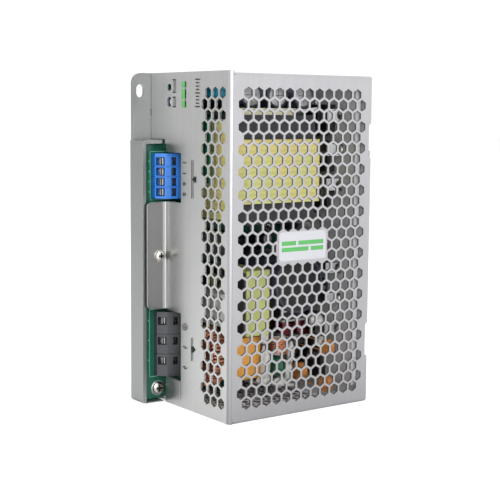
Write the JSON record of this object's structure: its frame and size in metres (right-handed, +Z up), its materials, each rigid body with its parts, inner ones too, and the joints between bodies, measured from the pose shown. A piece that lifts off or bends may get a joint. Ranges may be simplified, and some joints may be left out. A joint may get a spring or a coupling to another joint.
{
  "type": "din rail power supply",
  "caption": "Upright metal cased power supply for a mounting rail: perforated cover over an open board, spring clamp terminals at the front, sprung rail latch behind.",
  "frame": {"origin": "middle of the bottom of the overall box", "axes": "+Z up, -Y front with the terminals, +Y rear with the rail clip, +X the perforated side, -X the plain base plate"},
  "size_m": [0.0716, 0.108, 0.1645],
  "materials": {
    "chassis_sheet": "satin mill finish",
    "cover_sheet": "satin mill finish",
    "badge": "satin film",
    "insulation": "matt film",
    "board": "solder mask over glass fibre",
    "fixing_steel": "zinc plated",
    "pillar_brass": "turned",
    "terminal_blue": "moulded",
    "contact_metal": "tin plated",
    "clamp_steel": "bright",
    "terminal_grey": "moulded",
    "ferrite": "matt sintered",
    "bobbin_plastic": "moulded",
    "copper": "enamelled wire",
    "tape": "polyester tape",
    "pad": "soft pad",
    "sink_aluminium": "extruded",
    "device_epoxy": "moulded",
    "capacitor_sleeve": "shrunk sleeve, aluminium top",
    "capacitor_blue": "shrunk sleeve, aluminium top",
    "film_yellow": "moulded box",
    "black_plastic": "moulded",
    "film_amber": "moulded box",
    "white_plastic": "moulded",
    "red_wire": "enamelled wire",
    "fuse_glass": "glass tube, plated caps",
    "varistor_blue": "dipped",
    "thermistor_green": "dipped",
    "disc_orange": "dipped",
    "trimmer_blue": "moulded",
    "led_green": "tinted epoxy",
    "clip_aluminium": "die cast"
  },
  "bodies": {
    "case": {"chassis": "chassis_sheet", "cover": "cover_sheet", "badge_plate": "badge", "insulation_sheet": "insulation", "main_board": "board", "board_standoffs": "fixing_steel", "board_screws": "fixing_steel", "flap_pillar": "pillar_brass", "flap_screw": "fixing_steel", "flap_washer": "fixing_steel", "output_terminal_housing": "terminal_blue", "output_contact_bars": "contact_metal", "input_terminal_housing": "terminal_grey", "input_contact_bars": "contact_metal", "transformer_core": "ferrite", "transformer_bobbin": "bobbin_plastic", "transformer_winding": "copper", "transformer_tape": "tape", "transformer_pad": "pad", "auxiliary_core": "ferrite", "auxiliary_winding": "tape", "upper_heat_sink": "sink_aluminium", "lower_heat_sink": "sink_aluminium", "rectifiers": "device_epoxy", "power_transistors": "device_epoxy", "bridge_rectifier": "device_epoxy", "device_screws": "fixing_steel", "output_capacitors": "capacitor_sleeve", "filter_capacitor": "capacitor_blue", "bulk_capacitor": "capacitor_sleeve", "line_capacitor": "film_yellow", "capacitor_carrier": "black_plastic", "interference_capacitor": "film_amber", "toroid_core": "ferrite", "toroid_winding": "copper", "toroid_base": "black_plastic", "filter_choke_core": "ferrite", "filter_choke_bobbin": "white_plastic", "filter_choke_winding": "red_wire", "rod_choke": "copper", "inrush_relay": "white_plastic", "fuse": "fuse_glass", "surge_varistor": "varistor_blue", "inrush_thermistor": "thermistor_green", "suppression_capacitors": "disc_orange", "control_board": "board", "trimmer_body": "trimmer_blue", "status_led": "led_green", "rail_adapter": "clip_aluminium", "latch_spring": "clamp_steel", "adapter_screws": "fixing_steel"},
    "rail_latch": {"rail_latch": "black_plastic"},
    "trimmer_rotor": {"trimmer_rotor": "white_plastic"},
    "output_clamp_1": {"output_clamp_1": "clamp_steel"},
    "output_clamp_2": {"output_clamp_2": "clamp_steel"},
    "output_clamp_3": {"output_clamp_3": "clamp_steel"},
    "output_clamp_4": {"output_clamp_4": "clamp_steel"},
    "input_clamp_1": {"input_clamp_1": "clamp_steel"},
    "input_clamp_2": {"input_clamp_2": "clamp_steel"},
    "input_clamp_3": {"input_clamp_3": "clamp_steel"}
  },
  "joints": [
    {"name": "latch_slide", "type": "slide", "parent": "case", "child": "rail_latch", "axis": [0, 0, -1], "range_m": [0, 0.005], "stiffness_N_per_m": 900, "springref_m": -0.003, "deforming": ["latch_spring"]},
    {"name": "trimmer_turn", "type": "hinge", "parent": "case", "child": "trimmer_rotor", "pos_m": [-0.0165, -0.0394, 0.1503], "axis": [0, 1, 0], "range_deg": [-135, 135]},
    {"name": "output_clamp_1_turn", "type": "hinge", "parent": "case", "child": "output_clamp_1", "pos_m": [-0.0222, -0.0359, 0.12112], "axis": [0, 0, -1], "range_deg": [0, 7], "stiffness_Nm_per_rad": 0.02, "springref_deg": -17.19},
    {"name": "output_clamp_2_turn", "type": "hinge", "parent": "case", "child": "output_clamp_2", "pos_m": [-0.0222, -0.0359, 0.11604], "axis": [0, 0, -1], "range_deg": [0, 7], "stiffness_Nm_per_rad": 0.02, "springref_deg": -17.19},
    {"name": "output_clamp_3_turn", "type": "hinge", "parent": "case", "child": "output_clamp_3", "pos_m": [-0.0222, -0.0359, 0.11096], "axis": [0, 0, -1], "range_deg": [0, 7], "stiffness_Nm_per_rad": 0.02, "springref_deg": -17.19},
    {"name": "output_clamp_4_turn", "type": "hinge", "parent": "case", "child": "output_clamp_4", "pos_m": [-0.0222, -0.0359, 0.10588], "axis": [0, 0, -1], "range_deg": [0, 7], "stiffness_Nm_per_rad": 0.02, "springref_deg": -17.19},
    {"name": "input_clamp_1_turn", "type": "hinge", "parent": "case", "child": "input_clamp_1", "pos_m": [-0.0222, -0.0349, 0.04106], "axis": [0, 0, -1], "range_deg": [0, 7], "stiffness_Nm_per_rad": 0.02, "springref_deg": -17.19},
    {"name": "input_clamp_2_turn", "type": "hinge", "parent": "case", "child": "input_clamp_2", "pos_m": [-0.0222, -0.0349, 0.0309], "axis": [0, 0, -1], "range_deg": [0, 7], "stiffness_Nm_per_rad": 0.02, "springref_deg": -17.19},
    {"name": "input_clamp_3_turn", "type": "hinge", "parent": "case", "child": "input_clamp_3", "pos_m": [-0.0222, -0.0349, 0.02074], "axis": [0, 0, -1], "range_deg": [0, 7], "stiffness_Nm_per_rad": 0.02, "springref_deg": -17.19}
  ]
}
